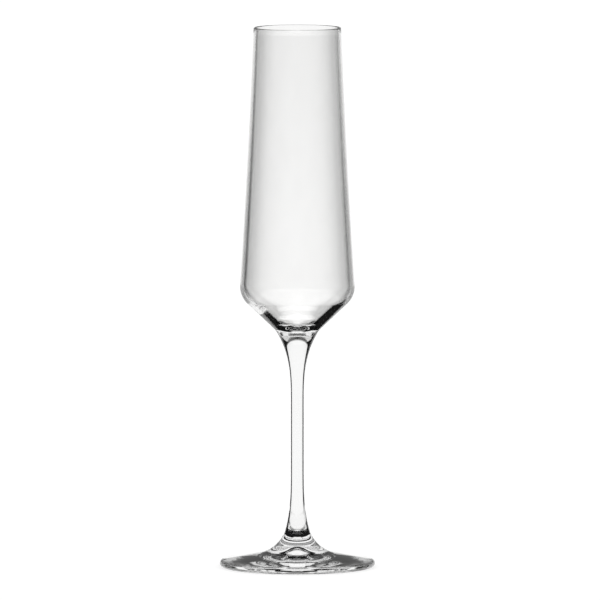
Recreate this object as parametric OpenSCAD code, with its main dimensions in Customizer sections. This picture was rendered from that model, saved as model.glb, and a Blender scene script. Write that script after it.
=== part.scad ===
// Champagne flute: a blown bowl, a drawn stem and a pressed foot, welded hot into one clear glass.
// Millimetres, +Z up. The origin is the centre of the ring that the foot stands on.

/* [Foot] */
// Diameter of the foot
foot_d = 71.7; // [62:0.1:84]
// Thickness of the foot at its edge
foot_edge = 2.95; // [2:0.05:4]
// Rounding of the edge, above and below
foot_edge_round = 1.4; // [0.5:0.05:1.6]
// Width of the flat ring that the foot stands on
ring_w = 1.7; // [1:0.1:6]
// Height of the hollow under the foot, without the dimple
hollow_h = 1.5; // [0.5:0.1:4]
// Flatness of the hollow: 2 is a parabola, more keeps it level further out
hollow_power = 2.4; // [2:0.1:5]
// Height of the dimple at the centre of the hollow, above the hollow itself
dimple_h = 4.9; // [0:0.1:6]
// Diameter of the dimple at half its height
dimple_d = 9.4; // [6:0.1:16]
// Diameter at which the upper face would turn up to the stem, before rounding
knee_d = 21.8; // [18:0.1:32]
// Height of that turn above the table
knee_h = 7.5; // [4.5:0.1:9]
// Rounding of that turn
knee_round = 15.5; // [6:0.5:24]
// Height of the foot, from the table to its weld with the stem
foot_h = 17.6; // [15:0.1:24]
// Depth below the weld at which the foot leaves the line of the stem
collar_drop = 2.1; // [0.8:0.1:3]
// Rounding where it does
collar_round = 5; // [2:0.5:12]

/* [Stem] */
// Length of the stem between its two welds
stem_h = 90.5; // [72:0.1:120]
// Diameter of the stem at its thinnest
waist_d = 6; // [4.5:0.1:9]
// Diameter of the weld with the foot
low_weld_d = 10.8; // [9:0.1:13]
// Height over which the stem widens towards the foot
low_flare_h = 32.5; // [18:0.5:36]
// Sharpness of the lower flare: 1 is a cone, more keeps the stem thin for longer
low_flare_power = 3.65; // [1.5:0.05:4.5]
// Diameter of the weld with the bowl
top_weld_d = 18.2; // [15:0.1:22]
// Height over which the stem widens towards the bowl
top_flare_h = 33; // [18:0.5:40]
// Sharpness of the upper flare
top_flare_power = 3.15; // [1.5:0.05:4]

/* [Bowl] */
// Height of the bowl, from its weld with the stem to the rim
bowl_h = 141.9; // [110:0.1:170]
// Outer diameter at the rim
rim_d = 40.5; // [34:0.1:50]
// Outer diameter at the shoulder, before rounding
shoulder_d = 53.5; // [46:0.1:64]
// Height of the shoulder above the weld
shoulder_rise = 17.5; // [14:0.1:24]
// Rounding of the shoulder, outside
shoulder_round = 10.5; // [3:0.5:14]
// Height above the weld at which the sloping base leaves the line of the stem
neck_rise = 1.8; // [0.8:0.1:3]
// Rounding where it does
neck_round = 9; // [2:0.5:12]
// How far the wall bows inwards between the shoulder and the rim
wall_bow = 0.4; // [0:0.05:1.2]
// Thickness of the wall at the rim
rim_wall = 0.9; // [0.7:0.05:1.6]
// Thickness of the wall at the shoulder
shoulder_wall = 1.1; // [0.9:0.05:2.6]
// Thickness of the base on the axis
base_t = 2.75; // [2:0.05:6]
// Diameter of the inner floor, before rounding
floor_d = 12.6; // [8:0.2:18]
// Rounding between the inner floor and the sloping inner wall
floor_round = 17.5; // [8:0.5:24]
// Rounding of the shoulder, inside
inner_shoulder_round = 9.5; // [4:0.5:22]

/* [Hidden] */
$fn = 60;

// Straight steps along each rounded or bowed stretch of an outline, and along the hollow under the foot
steps = 7;
hollow_steps = 15;
// Largest part of a straight stretch that the roundings at its ends may use
usable_share = 0.98;

foot_r = foot_d / 2;
ring_outer_r = foot_r - foot_edge_round;
ring_inner_r = ring_outer_r - ring_w;
waist_r = waist_d / 2;
low_weld_r = low_weld_d / 2;
top_weld_r = top_weld_d / 2;
low_weld_z = foot_h;
top_weld_z = foot_h + stem_h;
rim_z = top_weld_z + bowl_h;
floor_z = top_weld_z + base_t;
lip_r = rim_wall / 2;

// Slope of the stem's outline at each weld, which the foot and the bowl carry on
low_flare_slope = low_flare_power * (low_weld_r - waist_r) / low_flare_h;
top_flare_slope = top_flare_power * (top_weld_r - waist_r) / top_flare_h;

// Outer corners of the bowl's outline, each with its rounding
weld_edge = [top_weld_r, top_weld_z, 0];
neck_edge = [top_weld_r + top_flare_slope * neck_rise, top_weld_z + neck_rise, neck_round];
shoulder_edge = [shoulder_d / 2, top_weld_z + shoulder_rise, shoulder_round];
rim_edge = [rim_d / 2, rim_z - lip_r, 0];

function flat(p) = [p.x, p.y];
function unit(v) = v / norm(v);

// Half the angle between the two sides that meet at corner b
function half_angle(a, b, c) = acos(unit(flat(a) - flat(b)) * unit(flat(c) - flat(b))) / 2;

// Direction from corner b that halves its angle
function bisector(a, b, c) = unit(unit(flat(a) - flat(b)) + unit(flat(c) - flat(b)));

// Corner b moved inwards until it lies depth from both its sides
function inset(a, b, c, depth) = flat(b) + bisector(a, b, c) * depth / sin(half_angle(a, b, c));

// How much of the side from p to q the rounding of p may take: the two ends share it as their radii
function room(p, q) = norm(flat(p) - flat(q)) * usable_share * p[2] / (p[2] + q[2]);

// Points of the arc that rounds corner b, from the side towards a to the side towards c
function corner_arc(a, b, c) =
    let (half = half_angle(a, b, c))
    let (reach = min(b[2] / tan(half), room(b, a), room(b, c)))
    let (radius = reach * tan(half))
    let (centre = flat(b) + bisector(a, b, c) * radius / sin(half))
    let (start = flat(b) + unit(flat(a) - flat(b)) * reach - centre)
    let (side = sign(cross(flat(a) - flat(b), flat(c) - flat(b))))
    [for (i = [0 : steps])
        let (turn = -side * (180 - 2 * half) * i / steps)
        centre + [start.x * cos(turn) - start.y * sin(turn), start.x * sin(turn) + start.y * cos(turn)]];

// Outline through corners of the form [radius, height, rounding]
function rounded(corners) =
    [for (i = [0 : len(corners) - 1])
        each corners[i][2] > 0
            ? corner_arc(corners[i - 1], corners[i], corners[i + 1])
            : [flat(corners[i])]];

// Points after a, up to b, along a shallow parabola that stands sag to the left of the straight line
function bowed(a, b, sag) =
    let (along = b - a)
    let (left = unit([-along.y, along.x]))
    [for (i = [1 : steps])
        let (t = i / steps)
        a + along * t + left * sag * 4 * t * (1 - t)];

// A list without its first point, and without its last
function after_first(list) = [for (i = [1 : len(list) - 1]) list[i]];
function before_last(list) = [for (i = [0 : len(list) - 2]) list[i]];

// Share of the dimple's height that is left at radius r: a bell that halves at dimple_d
function bell(r) = pow(2, -pow(2 * r / dimple_d, 2));

// Height of the underside at radius r: a shallow hollow that ends at the standing ring, and the dimple in it
function hollow_z(r) = (hollow_h + dimple_h * bell(r)) * (1 - pow(r / ring_inner_r, hollow_power));

// Underside of the foot, from the axis out to the standing ring, with closer points at the dimple
function hollow_points() =
    [for (i = [0 : hollow_steps])
        let (r = ring_inner_r * pow(i / hollow_steps, 2))
        [r, hollow_z(r)]];

function foot_outline() = concat(
    hollow_points(),
    rounded([
        [ring_outer_r - ring_w / 2, 0, 0],
        [foot_r, 0, foot_edge_round],
        [foot_r, foot_edge, foot_edge_round],
        [knee_d / 2, knee_h, knee_round],
        [low_weld_r + low_flare_slope * collar_drop, low_weld_z - collar_drop, collar_round],
        [low_weld_r, low_weld_z, 0]]),
    [[0, low_weld_z]]);

// Radius of a flare at a share t of the way from the waist to the weld
function flare_r(weld_r, power, t) = waist_r + (weld_r - waist_r) * pow(t, power);

function stem_outline() = concat(
    [[0, low_weld_z]],
    [for (i = [0 : steps])
        let (t = i / steps)
        [flare_r(low_weld_r, low_flare_power, 1 - t), low_weld_z + low_flare_h * t]],
    [for (i = [0 : steps])
        let (t = i / steps)
        [flare_r(top_weld_r, top_flare_power, t), top_weld_z - top_flare_h * (1 - t)]],
    [[0, top_weld_z]]);

// Fire-polished rim: a half circle from the outer wall over to the inner wall
function lip_points() =
    [for (i = [1 : steps])
        let (turn = 180 * i / steps)
        [rim_edge.x - lip_r + lip_r * cos(turn), rim_edge.y + lip_r * sin(turn)]];

// Outer side of the bowl, from the weld up to the rim
function bowl_outside() =
    let (base = before_last(rounded([weld_edge, neck_edge, shoulder_edge, rim_edge])))
    concat(base, bowed(base[len(base) - 1], flat(rim_edge), wall_bow));

// Inner side of the bowl, from below the rim down to the axis
function bowl_inside() =
    let (inner_rim = [rim_edge.x - rim_wall, rim_edge.y, 0])
    let (inner_shoulder = inset(neck_edge, shoulder_edge, rim_edge, shoulder_wall))
    let (base = after_first(rounded([
        inner_rim,
        [inner_shoulder.x, inner_shoulder.y, inner_shoulder_round],
        [floor_d / 2, floor_z, floor_round],
        [0, floor_z, 0]])))
    concat(bowed(flat(inner_rim), base[0], -wall_bow), after_first(base));

function bowl_outline() = concat([[0, top_weld_z]], bowl_outside(), lip_points(), bowl_inside());

// Pressed and spun foot: a disc with a rounded edge that rises to the weld, hollow underneath
module foot() {
    color("lightcyan", 0.5)
    rotate_extrude()
    polygon(foot_outline());
}

// Drawn stem: solid, thin in the middle and flared at both welds
module stem() {
    color("lightcyan", 0.5)
    rotate_extrude()
    polygon(stem_outline());
}

// Blown bowl: a thin wall that thickens down to a solid base
module bowl() {
    color("lightcyan", 0.5)
    rotate_extrude()
    polygon(bowl_outline());
}

foot();
stem();
bowl();
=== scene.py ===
"""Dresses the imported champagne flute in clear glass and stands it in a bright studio.

All sizes are in metres, in the frame of the CAD model: the table is z = 0, the axis of the glass is the
Z axis, and +Z is up. Azimuths in the studio are measured from +Y, the way the camera looks, towards +X.
"""

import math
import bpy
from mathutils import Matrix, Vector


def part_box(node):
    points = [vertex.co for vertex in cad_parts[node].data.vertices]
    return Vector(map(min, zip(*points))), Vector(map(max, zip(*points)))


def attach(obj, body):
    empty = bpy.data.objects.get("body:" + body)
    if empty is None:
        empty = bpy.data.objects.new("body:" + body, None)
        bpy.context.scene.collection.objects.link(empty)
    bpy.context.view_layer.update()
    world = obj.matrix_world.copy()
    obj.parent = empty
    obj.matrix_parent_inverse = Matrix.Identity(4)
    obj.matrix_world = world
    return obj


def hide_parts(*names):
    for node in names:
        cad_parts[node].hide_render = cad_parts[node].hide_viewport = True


bl_info = {
    "name": "Champagne Flute",
    "version": (1, 0, 0),
    "blender": (4, 5, 0),
    "location": "3D View > Sidebar > Flute",
    "description": "Builds a clear glass flute from a foot, a stem and a bowl, in a bright studio",
    "category": "Add Mesh",
}

import bpy
import numpy as np
from bpy.props import FloatProperty, FloatVectorProperty, IntProperty, PointerProperty
from mathutils import Vector

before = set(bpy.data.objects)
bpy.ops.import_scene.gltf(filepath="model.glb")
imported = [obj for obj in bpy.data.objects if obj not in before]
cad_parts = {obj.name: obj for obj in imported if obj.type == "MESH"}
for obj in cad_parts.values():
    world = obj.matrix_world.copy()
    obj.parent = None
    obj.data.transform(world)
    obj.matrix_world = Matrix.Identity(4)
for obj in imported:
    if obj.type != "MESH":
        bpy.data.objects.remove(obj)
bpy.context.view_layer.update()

PHOTO_PIXELS = 600
GLASS_SLOT = 0
WELD_SLOT = 1

# Turns that a ray may take inside the solid glass of the stem and the foot
GLASS_BOUNCES = 24

# Brightness of the studio's dark parts and of the plain surroundings
SHADE = 0.01
PLAIN_WHITE = 1.05

# Pillars of light for the bowl: degrees between them, then how the core and the sides of each fall off,
# as two distances in degrees and the brightness at each
PILLAR_SPACING = 45.0
PILLAR_CORE = (0.2, 4.2, 0.32, 0.0)
PILLAR_SIDE = (9.0, 18.0, 0.77, 0.06)

# Elevations between which the pillars stand, with their softness, and how they dim upwards and brighten below
PILLAR_REACH = (-50.0, 35.0, 5.0)
PILLAR_DIMMING = (-4.9, -3.7, 1.0, 0.9)
PILLAR_BRIGHTENING = (-20.0, -6.0, 1.15, 1.0)

# Reflections in the glass after which light sees the cards beside the foot, behind it and beside the bowl
SIDE_CARD_REFLECTIONS = 7
BACK_CARD_REFLECTIONS = 3
BOWL_CARD_REFLECTIONS = 15

# Steps round the bright part of the table, and its height between the floor and the foot
GLOW_STEPS = 48
GLOW_HEIGHT = -0.0001

# Floor: steps round it, its height, and the shares of its colour that it reflects and sends out
FLOOR_STEPS = 96
FLOOR_HEIGHT = -0.0002
FLOOR_REFLECTS = 0.3
FLOOR_GLOWS = 0.85

# Farthest point that the camera shows
CLIP_END = 100.0

# Traces of hot working: how far they are drawn out along each axis in the three pieces
PRESSED_STRETCH = (90.0, 90.0, 240.0)
DRAWN_STRETCH = (160.0, 160.0, 12.0)
BLOWN_STRETCH = (60.0, 60.0, 22.0)

# Streaks: noise between which they turn hazy, with the haze at both ends, noise between which they are denser,
# and the tint of the densest
HAZE = (0.35, 0.75, 0.0, 0.02)
CORD = (0.45, 0.8)
CORD_TINT = 0.985

# Painted shade on the bowl's wall by slant: where it sets in, and where it eases to a share of itself at the
# edge
PAINTED_SHADE_SETS_IN = (0.5, 0.72)
PAINTED_SHADE_EASES = (0.75, 0.92, 1.0, 0.5)

# The same painted shade by height: where it begins above the base, and where it thins to a share of itself at
# the rim
PAINTED_SHADE_BEGINS = (0.1205, 0.126)
PAINTED_SHADE_THINS = (0.16, 0.25, 1.0, 0.62)

# Points along one rounded corner, one bowed wall, one flare and the hollow under the foot
ARC_STEPS = 28
WALL_STEPS = 48
FLARE_STEPS = 56
HOLLOW_STEPS = 72
LIP_STEPS = 12

# Heights of the two welds and of the rim come from the CAD solids
FOOT_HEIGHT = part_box("foot")[1].z
STEM_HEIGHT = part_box("stem")[1].z - FOOT_HEIGHT
BOWL_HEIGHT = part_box("bowl")[1].z - FOOT_HEIGHT - STEM_HEIGHT


def length(name, description, default):
    """A length in metres for a property group."""
    return FloatProperty(name=name, description=description, default=default, min=0.0, precision=5,
                         subtype="DISTANCE", unit="LENGTH")


def share(name, description, default):
    """A plain number for a property group."""
    return FloatProperty(name=name, description=description, default=default, precision=4)


def angle(name, description, degrees):
    """An angle for a property group, given in degrees and kept in radians."""
    return FloatProperty(name=name, description=description, default=math.radians(degrees),
                         subtype="ANGLE", unit="ROTATION")


def colour(name, description, default):
    """A linear colour for a property group."""
    return FloatVectorProperty(name=name, description=description, default=default, size=3,
                               min=0.0, max=1.0, subtype="COLOR")


class FluteFootSizes(bpy.types.PropertyGroup):
    """Sizes of the foot."""

    diameter: length("Diameter", "Diameter of the foot", 0.0717)
    edge_height: length("Edge height", "Thickness of the foot at its edge", 0.00295)
    edge_round: length("Edge rounding", "Rounding of the edge, above and below", 0.0014)
    ring_width: length("Ring width", "Width of the flat ring that the foot stands on", 0.0017)
    hollow_height: length("Hollow", "Height of the hollow under the foot, without the dimple", 0.0015)
    hollow_power: share("Hollow flatness", "Power of the hollow; 2 is a parabola", 2.4)
    dimple_height: length("Dimple height", "Height of the dimple above the hollow, at the centre", 0.0049)
    dimple_diameter: length("Dimple diameter", "Diameter of the dimple at half its height", 0.0094)
    knee_diameter: length("Knee diameter", "Diameter at which the upper face turns up", 0.0218)
    knee_height: length("Knee height", "Height of that turn above the table", 0.0075)
    knee_round: length("Knee rounding", "Rounding of that turn", 0.0155)
    height: length("Height", "Height from the table to the weld with the stem", FOOT_HEIGHT)
    collar_drop: length("Collar drop", "Depth below the weld at which it leaves the stem's line", 0.0021)
    collar_round: length("Collar rounding", "Rounding where it does", 0.005)


class FluteStemSizes(bpy.types.PropertyGroup):
    """Sizes of the stem."""

    height: length("Height", "Length of the stem between its two welds", STEM_HEIGHT)
    waist_diameter: length("Waist", "Diameter of the stem at its thinnest", 0.006)
    low_weld_diameter: length("Lower weld", "Diameter of the weld with the foot", 0.0108)
    low_flare_height: length("Lower flare", "Height over which it widens to the foot", 0.0325)
    low_flare_power: share("Lower sharpness", "Power of the lower flare; 1 is a cone", 3.65)
    top_weld_diameter: length("Upper weld", "Diameter of the weld with the bowl", 0.0182)
    top_flare_height: length("Upper flare", "Height over which it widens to the bowl", 0.033)
    top_flare_power: share("Upper sharpness", "Power of the upper flare; 1 is a cone", 3.15)


class FluteBowlSizes(bpy.types.PropertyGroup):
    """Sizes of the bowl."""

    height: length("Height", "Height from the weld with the stem to the rim", BOWL_HEIGHT)
    rim_diameter: length("Rim", "Outer diameter at the rim", 0.0405)
    shoulder_diameter: length("Shoulder", "Outer diameter at the shoulder, before rounding", 0.0535)
    shoulder_rise: length("Shoulder rise", "Height of the shoulder above the weld", 0.0175)
    shoulder_round: length("Shoulder rounding", "Rounding of the shoulder, outside", 0.0105)
    neck_rise: length("Neck rise", "Height above the weld at which the base leaves the stem's line", 0.0018)
    neck_round: length("Neck rounding", "Rounding where it does", 0.009)
    wall_bow: length("Wall bow", "How far the wall bows inwards below the rim", 0.0004)
    rim_wall: length("Rim wall", "Thickness of the wall at the rim", 0.0009)
    shoulder_wall: length("Shoulder wall", "Thickness of the wall at the shoulder", 0.0011)
    base_thickness: length("Base", "Thickness of the base on the axis", 0.00275)
    floor_diameter: length("Inner floor", "Diameter of the inner floor, before rounding", 0.0126)
    floor_round: length("Floor rounding", "Rounding of the inner floor into the sloping wall", 0.0175)
    inner_shoulder_round: length("Inner shoulder", "Rounding of the shoulder, inside", 0.0095)


class FluteGlassLook(bpy.types.PropertyGroup):
    """Look of the clear glass."""

    segments: IntProperty(name="Segments", description="Steps round each piece", default=256, min=32)
    refraction: share("Refraction", "Index of refraction of the glass", 1.52)
    body_tint: colour("Body tint", "Colour of light that passes straight through", (1.0, 1.0, 0.997))
    # Painted shade: a dark colour mixed into the bowl's base colour where the wall is seen at a grazing slant,
    # painting dark lines along its edges
    painted_edge_shade: colour("Painted edge shade", "Colour of light that grazes the bowl's wall", (0.09, 0.0905, 0.088))
    swell: length("Swell", "Depth of the faint waves that are left by hot working", 0.000004)


class FluteStudioLook(bpy.types.PropertyGroup):
    """Camera, floor and light of the studio."""

    camera_distance: length("Camera distance", "Distance of the camera before the glass", 5.5)
    camera_height: length("Camera height", "Height of the camera above the table", 0.617)
    aim_height: length("Aim height", "Height on the axis of the glass at the picture's centre", 0.12375)
    side_step: length("Side step", "How far the camera stands to the right of the axis", 0.00122)
    pixel_size: length("Pixel size", "Size on the axis of one pixel of the picture", 0.0004622)
    floor_radius: length("Floor radius", "Radius of the pale floor", 9.0)
    floor_colour: colour("Floor colour", "Colour of the pale floor", (0.9, 0.9, 0.9))
    panel_left: angle("Panel left", "How far the light panel behind the glass reaches to the left", 41.5)
    panel_right: angle("Panel right", "How far it reaches to the right", 46.0)
    panel_low: angle("Panel foot", "Lowest elevation of that panel", -17.9)
    panel_high: angle("Panel top", "Highest elevation of that panel", 33.4)
    strip_half_width: angle("Strip width", "Half the width of the strip that runs on below the panel", 10.0)
    strip_low: angle("Strip foot", "Lowest elevation of that strip", -44.8)
    glow_inner: length("Glow inside", "Inner radius of the bright part of the table behind the foot", 0.03)
    glow_full: length("Glow full", "Radius at which it is fully bright", 0.044)
    glow_outer: length("Glow outside", "Outer radius of it", 0.085)
    glow_half_turn: angle("Glow turn", "Half the angle that it spans", 30.0)
    mirror_low: angle("Mirror low", "Elevation up to which the glass mirrors the bright table", 3.0)
    mirror_high: angle("Mirror high", "Elevation above which it mirrors the dim studio", 7.0)
    mirror_bright: share("Mirror bright", "Share of the light that it mirrors below", 0.95)
    mirror_dim: share("Mirror dim", "Share of the light that it mirrors above", 0.25)
    card_side: length("Card side", "Distance of the two side cards from the axis", 0.12)
    card_front: length("Card front", "How far the side cards reach before the axis", 0.06)
    card_full: length("Card full", "How far behind the axis they are fully bright", 0.05)
    card_back: length("Card back", "How far behind the axis they reach", 0.075)
    card_height: length("Card height", "Height of the side cards", 0.07)
    back_card_distance: length("Back card distance", "Distance of the back card behind the axis", 0.1)
    back_card_half_width: length("Back card width", "Half the width of the back card", 0.06)
    back_card_low: length("Back card foot", "Height of its lower edge", 0.06)
    back_card_high: length("Back card top", "Height of its upper edge", 0.13)
    bowl_card_side: length("Bowl card side", "Distance from the axis of the card beside the bowl", 0.04)
    bowl_card_front: length("Bowl card front", "How far it reaches before the axis", 0.01)
    bowl_card_back: length("Bowl card back", "How far it reaches behind the axis", 0.05)
    bowl_card_low: length("Bowl card foot", "Height of its lower edge", 0.1155)
    bowl_card_high: length("Bowl card top", "Height of its upper edge", 0.14)


class FluteSettings(bpy.types.PropertyGroup):
    """All settings of the flute and its studio."""

    foot: PointerProperty(type=FluteFootSizes)
    stem: PointerProperty(type=FluteStemSizes)
    bowl: PointerProperty(type=FluteBowlSizes)
    glass: PointerProperty(type=FluteGlassLook)
    studio: PointerProperty(type=FluteStudioLook)


# Outlines: arrays of points (radius, height) that start and end on the axis, with the glass on the left

def unit(vector):
    """The vector divided by its own length."""
    return vector / np.linalg.norm(vector)


def corner_angles(before, corner, after):
    """Unit directions from a corner to its neighbours, and half the angle between them."""
    back = unit(np.subtract(before, corner))
    onward = unit(np.subtract(after, corner))
    half = math.acos(float(back @ onward)) / 2
    return back, onward, half


def corner_arc(before, corner, after, radius):
    """Circular arc that rounds a corner.

    Its centre lies on the corner's bisector at radius / sin(half angle), and it runs from the side
    towards the point before to the side towards the point after, touching both.
    """
    back, onward, half = corner_angles(before, corner, after)
    centre = np.array(corner) + unit(back + onward) * radius / math.sin(half)
    start = np.array(corner) + back * radius / math.tan(half) - centre
    side = np.sign(back[0] * onward[1] - back[1] * onward[0])
    turn = -side * (math.pi - 2 * half) * np.linspace(0, 1, ARC_STEPS + 1)
    across = start[0] * np.cos(turn) - start[1] * np.sin(turn)
    upward = start[0] * np.sin(turn) + start[1] * np.cos(turn)
    return centre + np.stack([across, upward], axis=1)


def inset_corner(before, corner, after, depth):
    """The corner moved along its bisector until it lies depth from both its sides."""
    back, onward, half = corner_angles(before, corner, after)
    return np.array(corner) + unit(back + onward) * depth / math.sin(half)


def bowed_line(start, end, sag):
    """Straight line from start to end plus a parabola 4 t (1 - t) that stands sag to its left."""
    along = np.subtract(end, start)
    left = unit(np.array([-along[1], along[0]]))
    t = np.linspace(0, 1, WALL_STEPS + 1)[:, None]
    return np.array(start) + along * t + left * sag * 4 * t * (1 - t)


def flare(waist_radius, weld_radius, power, t):
    """Radius of a flare: the waist plus the widening times a power of t, 0 at the waist and 1 at the weld."""
    return waist_radius + (weld_radius - waist_radius) * t ** power


def joined(*runs):
    """The runs of points as one outline, with each repeated point kept once."""
    points = np.concatenate([np.atleast_2d(run) for run in runs])
    steps = np.linalg.norm(np.diff(points, axis=0), axis=1)
    return points[np.r_[True, steps > 1e-9]]


def foot_outline(foot, stem):
    """Outline of the foot, from the middle of its underside out to the edge and up to the weld.

    The underside is the hollow, raised by a bell that halves at the dimple's diameter, times
    (1 - t to the hollow's power), where t is the share of the way to the standing ring.
    """
    radius = foot.diameter / 2
    ring_outer = radius - foot.edge_round
    ring_inner = ring_outer - foot.ring_width
    weld_radius = stem.low_weld_diameter / 2
    slope = stem.low_flare_power * (weld_radius - stem.waist_diameter / 2) / stem.low_flare_height
    t = np.linspace(0, 1, HOLLOW_STEPS + 1) ** 2
    bell = 2.0 ** -(2 * ring_inner * t / foot.dimple_diameter) ** 2
    underside = (foot.hollow_height + foot.dimple_height * bell) * (1 - t ** foot.hollow_power)
    hollow = np.stack([ring_inner * t, underside], axis=1)
    low_edge = (radius, 0.0)
    top_edge = (radius, foot.edge_height)
    knee = (foot.knee_diameter / 2, foot.knee_height)
    collar = (weld_radius + slope * foot.collar_drop, foot.height - foot.collar_drop)
    weld = (weld_radius, foot.height)
    return joined(
        hollow,
        corner_arc((ring_outer, 0.0), low_edge, top_edge, foot.edge_round),
        corner_arc(low_edge, top_edge, knee, foot.edge_round),
        corner_arc(top_edge, knee, collar, foot.knee_round),
        corner_arc(knee, collar, weld, foot.collar_round),
        weld,
        (0.0, foot.height))


def stem_outline(foot, stem):
    """Outline of the stem: a flare down to the foot, the plain waist, and a flare up to the bowl."""
    waist = stem.waist_diameter / 2
    low = foot.height
    top = low + stem.height
    t = np.linspace(0, 1, FLARE_STEPS + 1)
    low_radius = flare(waist, stem.low_weld_diameter / 2, stem.low_flare_power, 1 - t)
    top_radius = flare(waist, stem.top_weld_diameter / 2, stem.top_flare_power, t)
    return joined(
        (0.0, low),
        np.stack([low_radius, low + stem.low_flare_height * t], axis=1),
        np.stack([top_radius, top - stem.top_flare_height * (1 - t)], axis=1),
        (0.0, top))


def bowl_outline(foot, stem, bowl):
    """Outline of the bowl: the sloping base, the shoulder, the bowed wall, the round lip and the inside."""
    weld_z = foot.height + stem.height
    weld_radius = stem.top_weld_diameter / 2
    slope = stem.top_flare_power * (weld_radius - stem.waist_diameter / 2) / stem.top_flare_height
    lip_radius = bowl.rim_wall / 2
    weld = (weld_radius, weld_z)
    neck = (weld_radius + slope * bowl.neck_rise, weld_z + bowl.neck_rise)
    shoulder = (bowl.shoulder_diameter / 2, weld_z + bowl.shoulder_rise)
    rim = (bowl.rim_diameter / 2, weld_z + bowl.height - lip_radius)
    inner_rim = (rim[0] - bowl.rim_wall, rim[1])
    inner_shoulder = inset_corner(neck, shoulder, rim, bowl.shoulder_wall)
    floor_z = weld_z + bowl.base_thickness
    floor_edge = (bowl.floor_diameter / 2, floor_z)
    outer_base = joined(
        corner_arc(weld, neck, shoulder, bowl.neck_round),
        corner_arc(neck, shoulder, rim, bowl.shoulder_round))
    inner_base = joined(
        corner_arc(inner_rim, inner_shoulder, floor_edge, bowl.inner_shoulder_round),
        corner_arc(inner_shoulder, floor_edge, (0.0, floor_z), bowl.floor_round))
    turn = np.linspace(0, math.pi, LIP_STEPS + 1)
    lip_across = rim[0] - lip_radius + lip_radius * np.cos(turn)
    lip_upward = rim[1] + lip_radius * np.sin(turn)
    lip = np.stack([lip_across, lip_upward], axis=1)
    return joined(
        (0.0, weld_z),
        weld,
        outer_base,
        bowed_line(outer_base[-1], rim, bowl.wall_bow),
        lip,
        bowed_line(inner_rim, inner_base[0], -bowl.wall_bow),
        inner_base,
        (0.0, floor_z))


# Meshes

def revolved_mesh(name, outline, segments, weld_below, weld_above):
    """Closed surface of revolution of an outline.

    A point (r, z) of the outline at angle a goes to (r cos a, r sin a, z). The outline's two ends on the
    axis are single poles. A fan of faces at a pole that is a weld disc takes the weld's material slot,
    and its rim is kept sharp.
    """
    ring = outline[1:-1]
    rows = len(ring)
    turn = np.linspace(0, 2 * math.pi, segments, endpoint=False)
    x = ring[:, :1] * np.cos(turn)
    y = ring[:, :1] * np.sin(turn)
    z = np.broadcast_to(ring[:, 1:], x.shape)
    poles = [[0.0, 0.0, outline[0, 1]], [0.0, 0.0, outline[-1, 1]]]
    points = np.concatenate([np.stack([x, y, z], axis=-1).reshape(-1, 3), poles])

    here = np.arange(segments)
    after = np.roll(here, -1)
    row = np.arange(rows - 1)[:, None] * segments
    quads = np.stack([row + here, row + after, row + segments + after, row + segments + here], axis=-1)
    low_pole = np.full(segments, rows * segments)
    last_row = (rows - 1) * segments
    low_fan = np.stack([low_pole, after, here], axis=1)
    high_fan = np.stack([low_pole + 1, last_row + here, last_row + after], axis=1)

    faces = quads.reshape(-1, 4).tolist() + low_fan.tolist() + high_fan.tolist()
    mesh = bpy.data.meshes.new(name)
    mesh.from_pydata(points.tolist(), [], faces)
    slots = np.full(len(mesh.polygons), GLASS_SLOT, dtype=np.int32)
    if weld_below:
        slots[-2 * segments:-segments] = WELD_SLOT
    if weld_above:
        slots[-segments:] = WELD_SLOT
    mesh.polygons.foreach_set("material_index", slots)
    mesh.polygons.foreach_set("use_smooth", np.ones(len(mesh.polygons), dtype=bool))
    ends = np.empty(2 * len(mesh.edges), dtype=np.int32)
    mesh.edges.foreach_get("vertices", ends)
    ends = ends.reshape(-1, 2)
    sharp = np.zeros(len(mesh.edges), dtype=bool)
    if weld_below:
        sharp |= (ends < segments).all(axis=1)
    if weld_above:
        sharp |= ((ends >= last_row) & (ends < rows * segments)).all(axis=1)
    mesh.edges.foreach_set("use_edge_sharp", sharp)
    mesh.update()
    return mesh


def place_piece(name, mesh, materials, node):
    """Links a mesh as a piece that rides on the root body and stands for a CAD node."""
    piece = bpy.data.objects.new(name, mesh)
    bpy.context.scene.collection.objects.link(piece)
    for material in materials:
        mesh.materials.append(material)
    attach(piece, "root")
    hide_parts(node)
    return piece


# Nodes

def add_node(tree, kind, settings=None, values=None):
    """A node of a kind, with its settings and the values of its unlinked inputs."""
    node = tree.nodes.new(kind)
    for key, value in (settings or {}).items():
        setattr(node, key, value)
    for key, value in (values or {}).items():
        node.inputs[key].default_value = value
    return node


def calculate(tree, operation, *terms):
    """Output of a Math node, whose terms are numbers or other outputs."""
    node = add_node(tree, "ShaderNodeMath", {"operation": operation})
    for place, term in enumerate(terms):
        if isinstance(term, (int, float)):
            node.inputs[place].default_value = term
        else:
            tree.links.new(term, node.inputs[place])
    return node.outputs[0]


def remap(tree, value, low, high, to_low=0.0, to_high=1.0, curve="SMOOTHSTEP"):
    """Output of a Map Range node that takes low..high to to_low..to_high and stays within them."""
    node = add_node(tree, "ShaderNodeMapRange", {"interpolation_type": curve, "clamp": True})
    tree.links.new(value, node.inputs["Value"])
    for key, number in zip(("From Min", "From Max", "To Min", "To Max"), (low, high, to_low, to_high)):
        node.inputs[key].default_value = number
    return node.outputs["Result"]


def mix_values(tree, share_of_second, first, second):
    """Output of a Mix node between two values, which are numbers or other outputs."""
    node = add_node(tree, "ShaderNodeMix", {"data_type": "FLOAT"})
    tree.links.new(share_of_second, node.inputs["Factor"])
    for key, term in (("A", first), ("B", second)):
        if isinstance(term, (int, float)):
            node.inputs[key].default_value = term
        else:
            tree.links.new(term, node.inputs[key])
    return node.outputs["Result"]


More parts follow.
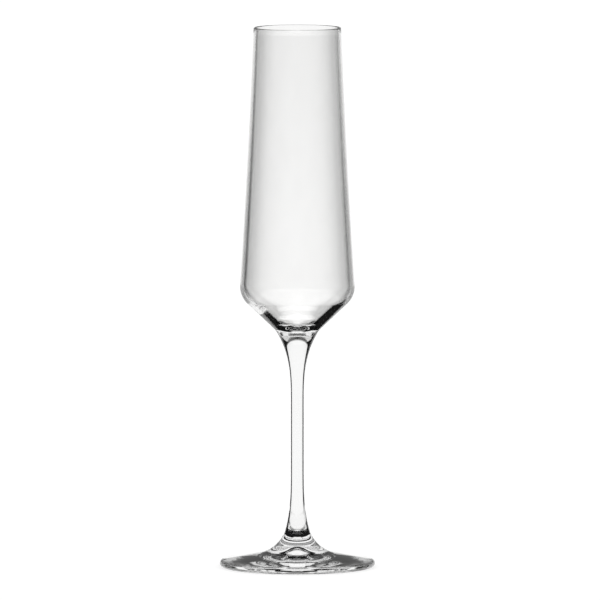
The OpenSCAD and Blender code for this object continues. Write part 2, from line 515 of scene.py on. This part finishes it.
def hot_work_group():
    """Node group for the faint traces that hot working leaves in glass.

    Stretched noise gives Swell, the height of slow waves in the skin, and finer noise gives Haze, a
    roughness, and Cord, a mask of streaks where the melt is a little denser.
    """
    name = "hot_work"
    if name in bpy.data.node_groups:
        return bpy.data.node_groups[name]
    group = bpy.data.node_groups.new(name, "ShaderNodeTree")
    face = group.interface
    face.new_socket("Position", in_out="INPUT", socket_type="NodeSocketVector")
    face.new_socket("Stretch", in_out="INPUT", socket_type="NodeSocketVector")
    face.new_socket("Swell", in_out="OUTPUT", socket_type="NodeSocketFloat")
    face.new_socket("Haze", in_out="OUTPUT", socket_type="NodeSocketFloat")
    face.new_socket("Cord", in_out="OUTPUT", socket_type="NodeSocketFloat")
    source = add_node(group, "NodeGroupInput")
    result = add_node(group, "NodeGroupOutput")
    stretched = add_node(group, "ShaderNodeVectorMath", {"operation": "MULTIPLY"})
    group.links.new(source.outputs["Position"], stretched.inputs[0])
    group.links.new(source.outputs["Stretch"], stretched.inputs[1])
    waves = add_node(group, "ShaderNodeTexNoise", values={"Scale": 1.0, "Detail": 1.0, "Roughness": 0.35})
    streaks = add_node(group, "ShaderNodeTexNoise", values={"Scale": 3.5, "Detail": 3.0, "Roughness": 0.5})
    for noise in (waves, streaks):
        group.links.new(stretched.outputs["Vector"], noise.inputs["Vector"])
    group.links.new(waves.outputs["Fac"], result.inputs["Swell"])
    group.links.new(remap(group, streaks.outputs["Fac"], *HAZE), result.inputs["Haze"])
    group.links.new(remap(group, streaks.outputs["Fac"], *CORD), result.inputs["Cord"])
    return group


def glass_material(name, look, stretch, painted_edge_shade=None):
    """Clear glass with faint waves and streaks, stretched the way the piece was worked.

    With a painted edge shade, the bowl's wall is painted darker where it is seen at a grazing slant, so light
    that grazes the wall loses far more than light that goes straight on: painted shade, not the glass's own
    colour.
    """
    material = bpy.data.materials.new(name)
    material.use_nodes = True
    tree = material.node_tree
    shader = tree.nodes["Principled BSDF"]
    shader.inputs["Transmission Weight"].default_value = 1.0
    shader.inputs["IOR"].default_value = look.refraction
    position = add_node(tree, "ShaderNodeTexCoord")
    traces = add_node(tree, "ShaderNodeGroup", {"node_tree": hot_work_group()}, {"Stretch": stretch})
    tree.links.new(position.outputs["Object"], traces.inputs["Position"])
    tint = add_node(tree, "ShaderNodeMix", {"data_type": "RGBA"})
    tint.inputs["A"].default_value = (*look.body_tint, 1.0)
    tint.inputs["B"].default_value = (*[CORD_TINT * c for c in look.body_tint], 1.0)
    tree.links.new(traces.outputs["Cord"], tint.inputs["Factor"])
    cord_tint_and_painted_shade = tint.outputs["Result"]
    # Painted shade: Layer Weight facing darkens the base colour towards the painted edge shade at grazing
    # slants, more low on the bowl than near the rim
    if painted_edge_shade is not None:
        facing = add_node(tree, "ShaderNodeLayerWeight", values={"Blend": 0.5}).outputs["Facing"]
        darkening = remap(tree, facing, *PAINTED_SHADE_SETS_IN)
        lightening = remap(tree, facing, *PAINTED_SHADE_EASES)
        height = add_node(tree, "ShaderNodeSeparateXYZ")
        tree.links.new(position.outputs["Object"], height.inputs[0])
        above = remap(tree, height.outputs["Z"], *PAINTED_SHADE_BEGINS)
        thinning = remap(tree, height.outputs["Z"], *PAINTED_SHADE_THINS, "LINEAR")
        reach = calculate(tree, "MULTIPLY", above, thinning)
        graze = calculate(tree, "MULTIPLY", calculate(tree, "MULTIPLY", darkening, lightening), reach)
        wall = add_node(tree, "ShaderNodeMix", {"data_type": "RGBA"})
        wall.inputs["B"].default_value = (*painted_edge_shade, 1.0)
        tree.links.new(graze, wall.inputs["Factor"])
        tree.links.new(cord_tint_and_painted_shade, wall.inputs["A"])
        cord_tint_and_painted_shade = wall.outputs["Result"]
    tree.links.new(cord_tint_and_painted_shade, shader.inputs["Base Color"])
    tree.links.new(traces.outputs["Haze"], shader.inputs["Roughness"])
    bump = add_node(tree, "ShaderNodeBump", values={"Strength": 1.0, "Distance": look.swell})
    tree.links.new(traces.outputs["Swell"], bump.inputs["Height"])
    tree.links.new(bump.outputs["Normal"], shader.inputs["Normal"])
    return material


def weld_material():
    """Fused weld: two pieces run into each other there, so the faces between them don't show at all."""
    name = "fused_weld"
    if name in bpy.data.materials:
        return bpy.data.materials[name]
    material = bpy.data.materials.new(name)
    material.use_nodes = True
    material.node_tree.nodes["Principled BSDF"].inputs["Alpha"].default_value = 0.0
    return material


class FLUTE_OT_make_foot(bpy.types.Operator):
    """Build the foot, a disc with a rounded edge that rises to its weld with the stem"""

    bl_idname = "flute.make_foot"
    bl_label = "Foot"

    def execute(self, context):
        flute = context.scene.flute
        outline = foot_outline(flute.foot, flute.stem)
        mesh = revolved_mesh("flute_foot", outline, flute.glass.segments, False, True)
        glass = glass_material("pressed_glass", flute.glass, PRESSED_STRETCH)
        place_piece("flute_foot", mesh, (glass, weld_material()), "foot")
        return {"FINISHED"}


class FLUTE_OT_make_stem(bpy.types.Operator):
    """Build the stem, drawn thin in the middle and flared at both welds"""

    bl_idname = "flute.make_stem"
    bl_label = "Stem"

    def execute(self, context):
        flute = context.scene.flute
        outline = stem_outline(flute.foot, flute.stem)
        mesh = revolved_mesh("flute_stem", outline, flute.glass.segments, True, True)
        glass = glass_material("drawn_glass", flute.glass, DRAWN_STRETCH)
        place_piece("flute_stem", mesh, (glass, weld_material()), "stem")
        return {"FINISHED"}


class FLUTE_OT_make_bowl(bpy.types.Operator):
    """Build the bowl, a thin blown wall with a round lip and a solid base"""

    bl_idname = "flute.make_bowl"
    bl_label = "Bowl"

    def execute(self, context):
        flute = context.scene.flute
        outline = bowl_outline(flute.foot, flute.stem, flute.bowl)
        mesh = revolved_mesh("flute_bowl", outline, flute.glass.segments, True, False)
        # The bowl's glass carries the painted edge shade
        glass = glass_material("blown_glass", flute.glass, BLOWN_STRETCH, flute.glass.painted_edge_shade)
        place_piece("flute_bowl", mesh, (glass, weld_material()), "bowl")
        return {"FINISHED"}


# Studio

def soft_window(tree, value, low, high, soft):
    """Mask that is 1 from low to high and fades over soft either way."""
    rising = remap(tree, value, low - soft, low + soft)
    falling = remap(tree, value, high - soft, high + soft, 1.0, 0.0)
    return calculate(tree, "MULTIPLY", rising, falling)


def light_panels(studio):
    """Panels behind the glass: azimuths, elevations, each with its softness in degrees, and brightness."""
    left = -math.degrees(studio.panel_left)
    right = math.degrees(studio.panel_right)
    low = math.degrees(studio.panel_low)
    high = math.degrees(studio.panel_high)
    strip = math.degrees(studio.strip_half_width)
    strip_low = math.degrees(studio.strip_low)
    return (
        (left, right, 3.0, low, high, 3.0, 1.03),
        (-strip, strip, 3.0, strip_low, high, 3.0, 1.03),
        (-44.0, -12.0, 3.0, -35.0, -16.0, 3.0, 1.03),
        (12.0, 48.0, 3.0, -25.0, -16.0, 3.0, 1.03),
    )


def fill_panels():
    """Panels at the sides and in front, in the same form, for light that passes straight through."""
    return (
        (-80.0, -40.0, 6.0, -60.0, -16.0, 5.0, 0.85),
        (-140.0, -66.0, 6.0, -30.0, 24.0, 6.0, 0.85),
        (84.0, 179.0, 6.0, -60.0, 16.0, 6.0, 0.85),
        (-190.0, 190.0, 1.0, 50.0, 100.0, 5.0, 0.9),
    )


def neck_panels():
    """Panel overhead, in the same form, for light that the stem's flare turns up through the bowl."""
    return (
        (-190.0, 190.0, 3.0, 40.0, 95.0, 3.0, 0.8),
    )


def brightest(tree, azimuth, elevation, panels, least):
    """Brightness of a direction: that of the brightest panel there, and never below the least."""
    light = least
    for left, right, side_soft, low, high, end_soft, brightness in panels:
        across = soft_window(tree, azimuth, left, right, side_soft)
        upward = soft_window(tree, elevation, low, high, end_soft)
        panel = calculate(tree, "MULTIPLY", calculate(tree, "MULTIPLY", across, upward), brightness)
        light = calculate(tree, "MAXIMUM", panel, light)
    return light


def pillar_light(tree, azimuth, elevation):
    """Brightness of the pillars that stand every 45 degrees round the studio and light the bowl's thin wall.

    The distance in azimuth to the nearest pillar falls along two soft steps, a pale core and a grey side.
    """
    apart = calculate(tree, "PINGPONG", azimuth, PILLAR_SPACING / 2)
    core = remap(tree, apart, *PILLAR_CORE)
    side = remap(tree, apart, *PILLAR_SIDE)
    upward = soft_window(tree, elevation, *PILLAR_REACH)
    dimming = remap(tree, elevation, *PILLAR_DIMMING, "LINEAR")
    brightening = remap(tree, elevation, *PILLAR_BRIGHTENING)
    gain = calculate(tree, "MULTIPLY", calculate(tree, "MULTIPLY", dimming, brightening), upward)
    return calculate(tree, "MULTIPLY", calculate(tree, "ADD", core, side), gain)


def studio_world(studio):
    """Surroundings: soft white panels on black for the glass, and plain white for the camera and the floor.

    The azimuth is atan2(x, y) and the elevation asin(z) of a direction, in degrees. Light that passes
    straight through, without any reflection, also sees the fill panels, and light that passes straight
    through both walls of the bowl sees the pillars. Light that is reflected once and leaves through the bowl
    also sees the neck's panel. Light that is mirrored by the outer skin alone is dimmed above the horizon.
    """
    world = bpy.data.worlds.new("studio")
    world.use_nodes = True
    tree = world.node_tree
    background = tree.nodes["Background"]
    direction = add_node(tree, "ShaderNodeTexCoord")
    axes = add_node(tree, "ShaderNodeSeparateXYZ")
    tree.links.new(direction.outputs["Generated"], axes.inputs[0])
    to_degrees = 180 / math.pi
    turn = calculate(tree, "ARCTAN2", axes.outputs["X"], axes.outputs["Y"])
    azimuth = calculate(tree, "MULTIPLY", turn, to_degrees)
    elevation = calculate(tree, "MULTIPLY", calculate(tree, "ARCSINE", axes.outputs["Z"]), to_degrees)
    path = add_node(tree, "ShaderNodeLightPath")
    # Depths are whole numbers, so each limit lies halfway between two of them
    straight = calculate(tree, "LESS_THAN", path.outputs["Glossy Depth"], 0.5)
    both_walls = calculate(tree, "GREATER_THAN", path.outputs["Transmission Depth"], 2.5)
    panels = brightest(tree, azimuth, elevation, light_panels(studio), SHADE)
    fill = calculate(tree, "MULTIPLY", brightest(tree, azimuth, elevation, fill_panels(), SHADE), straight)
    turned_once = calculate(tree, "COMPARE", path.outputs["Glossy Depth"], 1.0, 0.5)
    through_bowl = calculate(tree, "GREATER_THAN", path.outputs["Transmission Depth"], 3.5)
    neck = calculate(tree, "MULTIPLY", brightest(tree, azimuth, elevation, neck_panels(), SHADE),
                     calculate(tree, "MULTIPLY", turned_once, through_bowl))
    light = calculate(tree, "MAXIMUM", calculate(tree, "MAXIMUM", panels, fill), neck)
    light = mix_values(tree, calculate(tree, "MULTIPLY", straight, both_walls), light,
                       pillar_light(tree, azimuth, elevation))
    mirrored = calculate(tree, "LESS_THAN", path.outputs["Transmission Depth"], 0.5)
    horizon = remap(tree, elevation, math.degrees(studio.mirror_low), math.degrees(studio.mirror_high),
                    studio.mirror_bright, studio.mirror_dim)
    light = mix_values(tree, mirrored, light, calculate(tree, "MULTIPLY", light, horizon))
    plain = calculate(tree, "MAXIMUM", path.outputs["Is Camera Ray"], path.outputs["Is Diffuse Ray"])
    light = mix_values(tree, plain, light, PLAIN_WHITE)
    tree.links.new(light, background.inputs["Color"])
    return world


def table_glow_mesh(inner, outer, half_turn):
    """Flat sector of a ring behind the glass: points at (r sin a, r cos a) for both radii and each turn a."""
    turn = np.linspace(-half_turn, half_turn, GLOW_STEPS + 1)
    circle = np.stack([np.sin(turn), np.cos(turn)], axis=1)
    flat = np.concatenate([inner * circle, outer * circle])
    points = np.column_stack([flat, np.full(len(flat), GLOW_HEIGHT)])
    here = np.arange(GLOW_STEPS)
    faces = np.stack([here, here + 1, here + GLOW_STEPS + 2, here + GLOW_STEPS + 1], axis=1)
    mesh = bpy.data.meshes.new("table_glow")
    mesh.from_pydata(points.tolist(), [], faces.tolist())
    mesh.update()
    return mesh


def white_light_material(name):
    """A material that only sends out white light, and its shader."""
    material = bpy.data.materials.new(name)
    material.use_nodes = True
    shader = material.node_tree.nodes["Principled BSDF"]
    shader.inputs["Base Color"].default_value = (0.0, 0.0, 0.0, 1.0)
    shader.inputs["Specular IOR Level"].default_value = 0.0
    shader.inputs["Emission Color"].default_value = (1.0, 1.0, 1.0, 1.0)
    return material, shader


def table_glow_material(inner, full):
    """Light that the table behind the foot sends up into the glass, from an inner to a full radius."""
    material, shader = white_light_material("table_glow")
    tree = material.node_tree
    position = add_node(tree, "ShaderNodeTexCoord")
    radius = add_node(tree, "ShaderNodeVectorMath", {"operation": "LENGTH"})
    tree.links.new(position.outputs["Object"], radius.inputs[0])
    tree.links.new(remap(tree, radius.outputs["Value"], inner, full), shader.inputs["Emission Strength"])
    return material


def card_mesh(name, low, high):
    """Flat upright card between two opposite corners."""
    corners = [low, (high[0], high[1], low[2]), high, (low[0], low[1], high[2])]
    mesh = bpy.data.meshes.new(name)
    mesh.from_pydata(corners, [], [list(range(len(corners)))])
    mesh.update()
    return mesh


def card_material(name, reflections, fade):
    """White card that lights only what the glass has reflected so many times inside itself.

    The fade, if any, is two places along Y: the card is fully bright up to one and dark from the other.
    """
    material, shader = white_light_material(name)
    tree = material.node_tree
    path = add_node(tree, "ShaderNodeLightPath")
    lit = calculate(tree, "GREATER_THAN", path.outputs["Glossy Depth"], reflections - 0.5)
    if fade is not None:
        position = add_node(tree, "ShaderNodeTexCoord")
        axes = add_node(tree, "ShaderNodeSeparateXYZ")
        tree.links.new(position.outputs["Object"], axes.inputs[0])
        lit = calculate(tree, "MULTIPLY", lit, remap(tree, axes.outputs["Y"], *fade, 1.0, 0.0))
    tree.links.new(lit, shader.inputs["Emission Strength"])
    tree.links.new(lit, shader.inputs["Alpha"])
    return material


def reflection_cards(studio):
    """Cards near the glass: name, two opposite corners, reflections that it takes to see it, and fade."""
    side = studio.card_side
    front = -studio.card_front
    back = studio.card_back
    high = studio.card_height
    fade = (studio.card_full, studio.card_back)
    width = studio.back_card_half_width
    behind = studio.back_card_distance
    bowl_side = studio.bowl_card_side
    return (
        ("left_card", (-side, front, 0.0), (-side, back, high), SIDE_CARD_REFLECTIONS, fade),
        ("right_card", (side, front, 0.0), (side, back, high), SIDE_CARD_REFLECTIONS, fade),
        ("back_card", (-width, behind, studio.back_card_low), (width, behind, studio.back_card_high),
         BACK_CARD_REFLECTIONS, None),
        ("bowl_card", (bowl_side, -studio.bowl_card_front, studio.bowl_card_low),
         (bowl_side, studio.bowl_card_back, studio.bowl_card_high), BOWL_CARD_REFLECTIONS, None),
    )


def place_light(light):
    """Links a shining surface to the stage, for the glass alone."""
    bpy.context.scene.collection.objects.link(light)
    light.visible_camera = False
    light.visible_diffuse = False
    light.visible_shadow = False


def floor_mesh(radius):
    """Flat disc: points at radius times (cos a, sin a), just under the table height."""
    turn = np.linspace(0, 2 * math.pi, FLOOR_STEPS, endpoint=False)
    height = np.full(FLOOR_STEPS, FLOOR_HEIGHT)
    points = np.stack([radius * np.cos(turn), radius * np.sin(turn), height], axis=1)
    mesh = bpy.data.meshes.new("pale_floor")
    mesh.from_pydata(points.tolist(), [], [list(range(FLOOR_STEPS))])
    mesh.update()
    return mesh


def floor_material(studio):
    """Matt pale floor that also glows a little, so that it stays nearly white under the glass."""
    material = bpy.data.materials.new("pale_floor")
    material.use_nodes = True
    shader = material.node_tree.nodes["Principled BSDF"]
    shader.inputs["Base Color"].default_value = (*[FLOOR_REFLECTS * c for c in studio.floor_colour], 1.0)
    shader.inputs["Roughness"].default_value = 1.0
    shader.inputs["Specular IOR Level"].default_value = 0.0
    shader.inputs["Emission Color"].default_value = (*studio.floor_colour, 1.0)
    shader.inputs["Emission Strength"].default_value = FLOOR_GLOWS
    return material


class FLUTE_OT_set_studio(bpy.types.Operator):
    """Set up the pale floor, the surroundings and the camera"""

    bl_idname = "flute.set_studio"
    bl_label = "Studio"

    def execute(self, context):
        scene = context.scene
        studio = scene.flute.studio
        floor = bpy.data.objects.new("pale_floor", floor_mesh(studio.floor_radius))
        floor.data.materials.append(floor_material(studio))
        scene.collection.objects.link(floor)
        floor.visible_transmission = False
        floor.visible_glossy = False
        glow = bpy.data.objects.new("table_glow", table_glow_mesh(studio.glow_inner, studio.glow_outer,
                                                                  studio.glow_half_turn))
        glow.data.materials.append(table_glow_material(studio.glow_inner, studio.glow_full))
        place_light(glow)
        for name, low, high, reflections, fade in reflection_cards(studio):
            card = bpy.data.objects.new(name, card_mesh(name, low, high))
            card.data.materials.append(card_material(name, reflections, fade))
            place_light(card)
        scene.world = studio_world(studio)
        scene.world.cycles.sampling_method = "NONE"

        lens = bpy.data.cameras.new("photo_camera")
        camera = bpy.data.objects.new("photo_camera", lens)
        scene.collection.objects.link(camera)
        aim = Vector((studio.side_step, 0.0, studio.aim_height))
        camera.location = (studio.side_step, -studio.camera_distance, studio.camera_height)
        sight = aim - camera.location
        camera.rotation_euler = sight.to_track_quat("-Z", "Y").to_euler()
        lens.lens = lens.sensor_width * sight.length / (PHOTO_PIXELS * studio.pixel_size)
        lens.clip_end = CLIP_END
        scene.camera = camera
        scene.view_settings.view_transform = "Standard"
        scene.cycles.max_bounces = GLASS_BOUNCES
        scene.cycles.transmission_bounces = GLASS_BOUNCES
        scene.cycles.glossy_bounces = GLASS_BOUNCES
        return {"FINISHED"}


class FLUTE_PT_sidebar(bpy.types.Panel):
    """Lists the steps that build the flute and its studio"""

    bl_idname = "FLUTE_PT_sidebar"
    bl_label = "Champagne Flute"
    bl_space_type = "VIEW_3D"
    bl_region_type = "UI"
    bl_category = "Flute"

    def draw(self, context):
        for step in STEPS:
            self.layout.operator(step.bl_idname)


STEPS = (FLUTE_OT_make_foot, FLUTE_OT_make_stem, FLUTE_OT_make_bowl, FLUTE_OT_set_studio)
CLASSES = (FluteFootSizes, FluteStemSizes, FluteBowlSizes, FluteGlassLook, FluteStudioLook, FluteSettings,
           *STEPS, FLUTE_PT_sidebar)


def register():
    """Register the classes and hang the settings on the scene."""
    for cls in CLASSES:
        bpy.utils.register_class(cls)
    bpy.types.Scene.flute = PointerProperty(type=FluteSettings)


def unregister():
    """Take the settings off the scene and unregister the classes."""
    del bpy.types.Scene.flute
    for cls in reversed(CLASSES):
        bpy.utils.unregister_class(cls)


def main():
    """Build every piece and the studio."""
    register()
    bpy.ops.flute.make_foot()
    bpy.ops.flute.make_stem()
    bpy.ops.flute.make_bowl()
    bpy.ops.flute.set_studio()


if __name__ == "__main__":
    main()
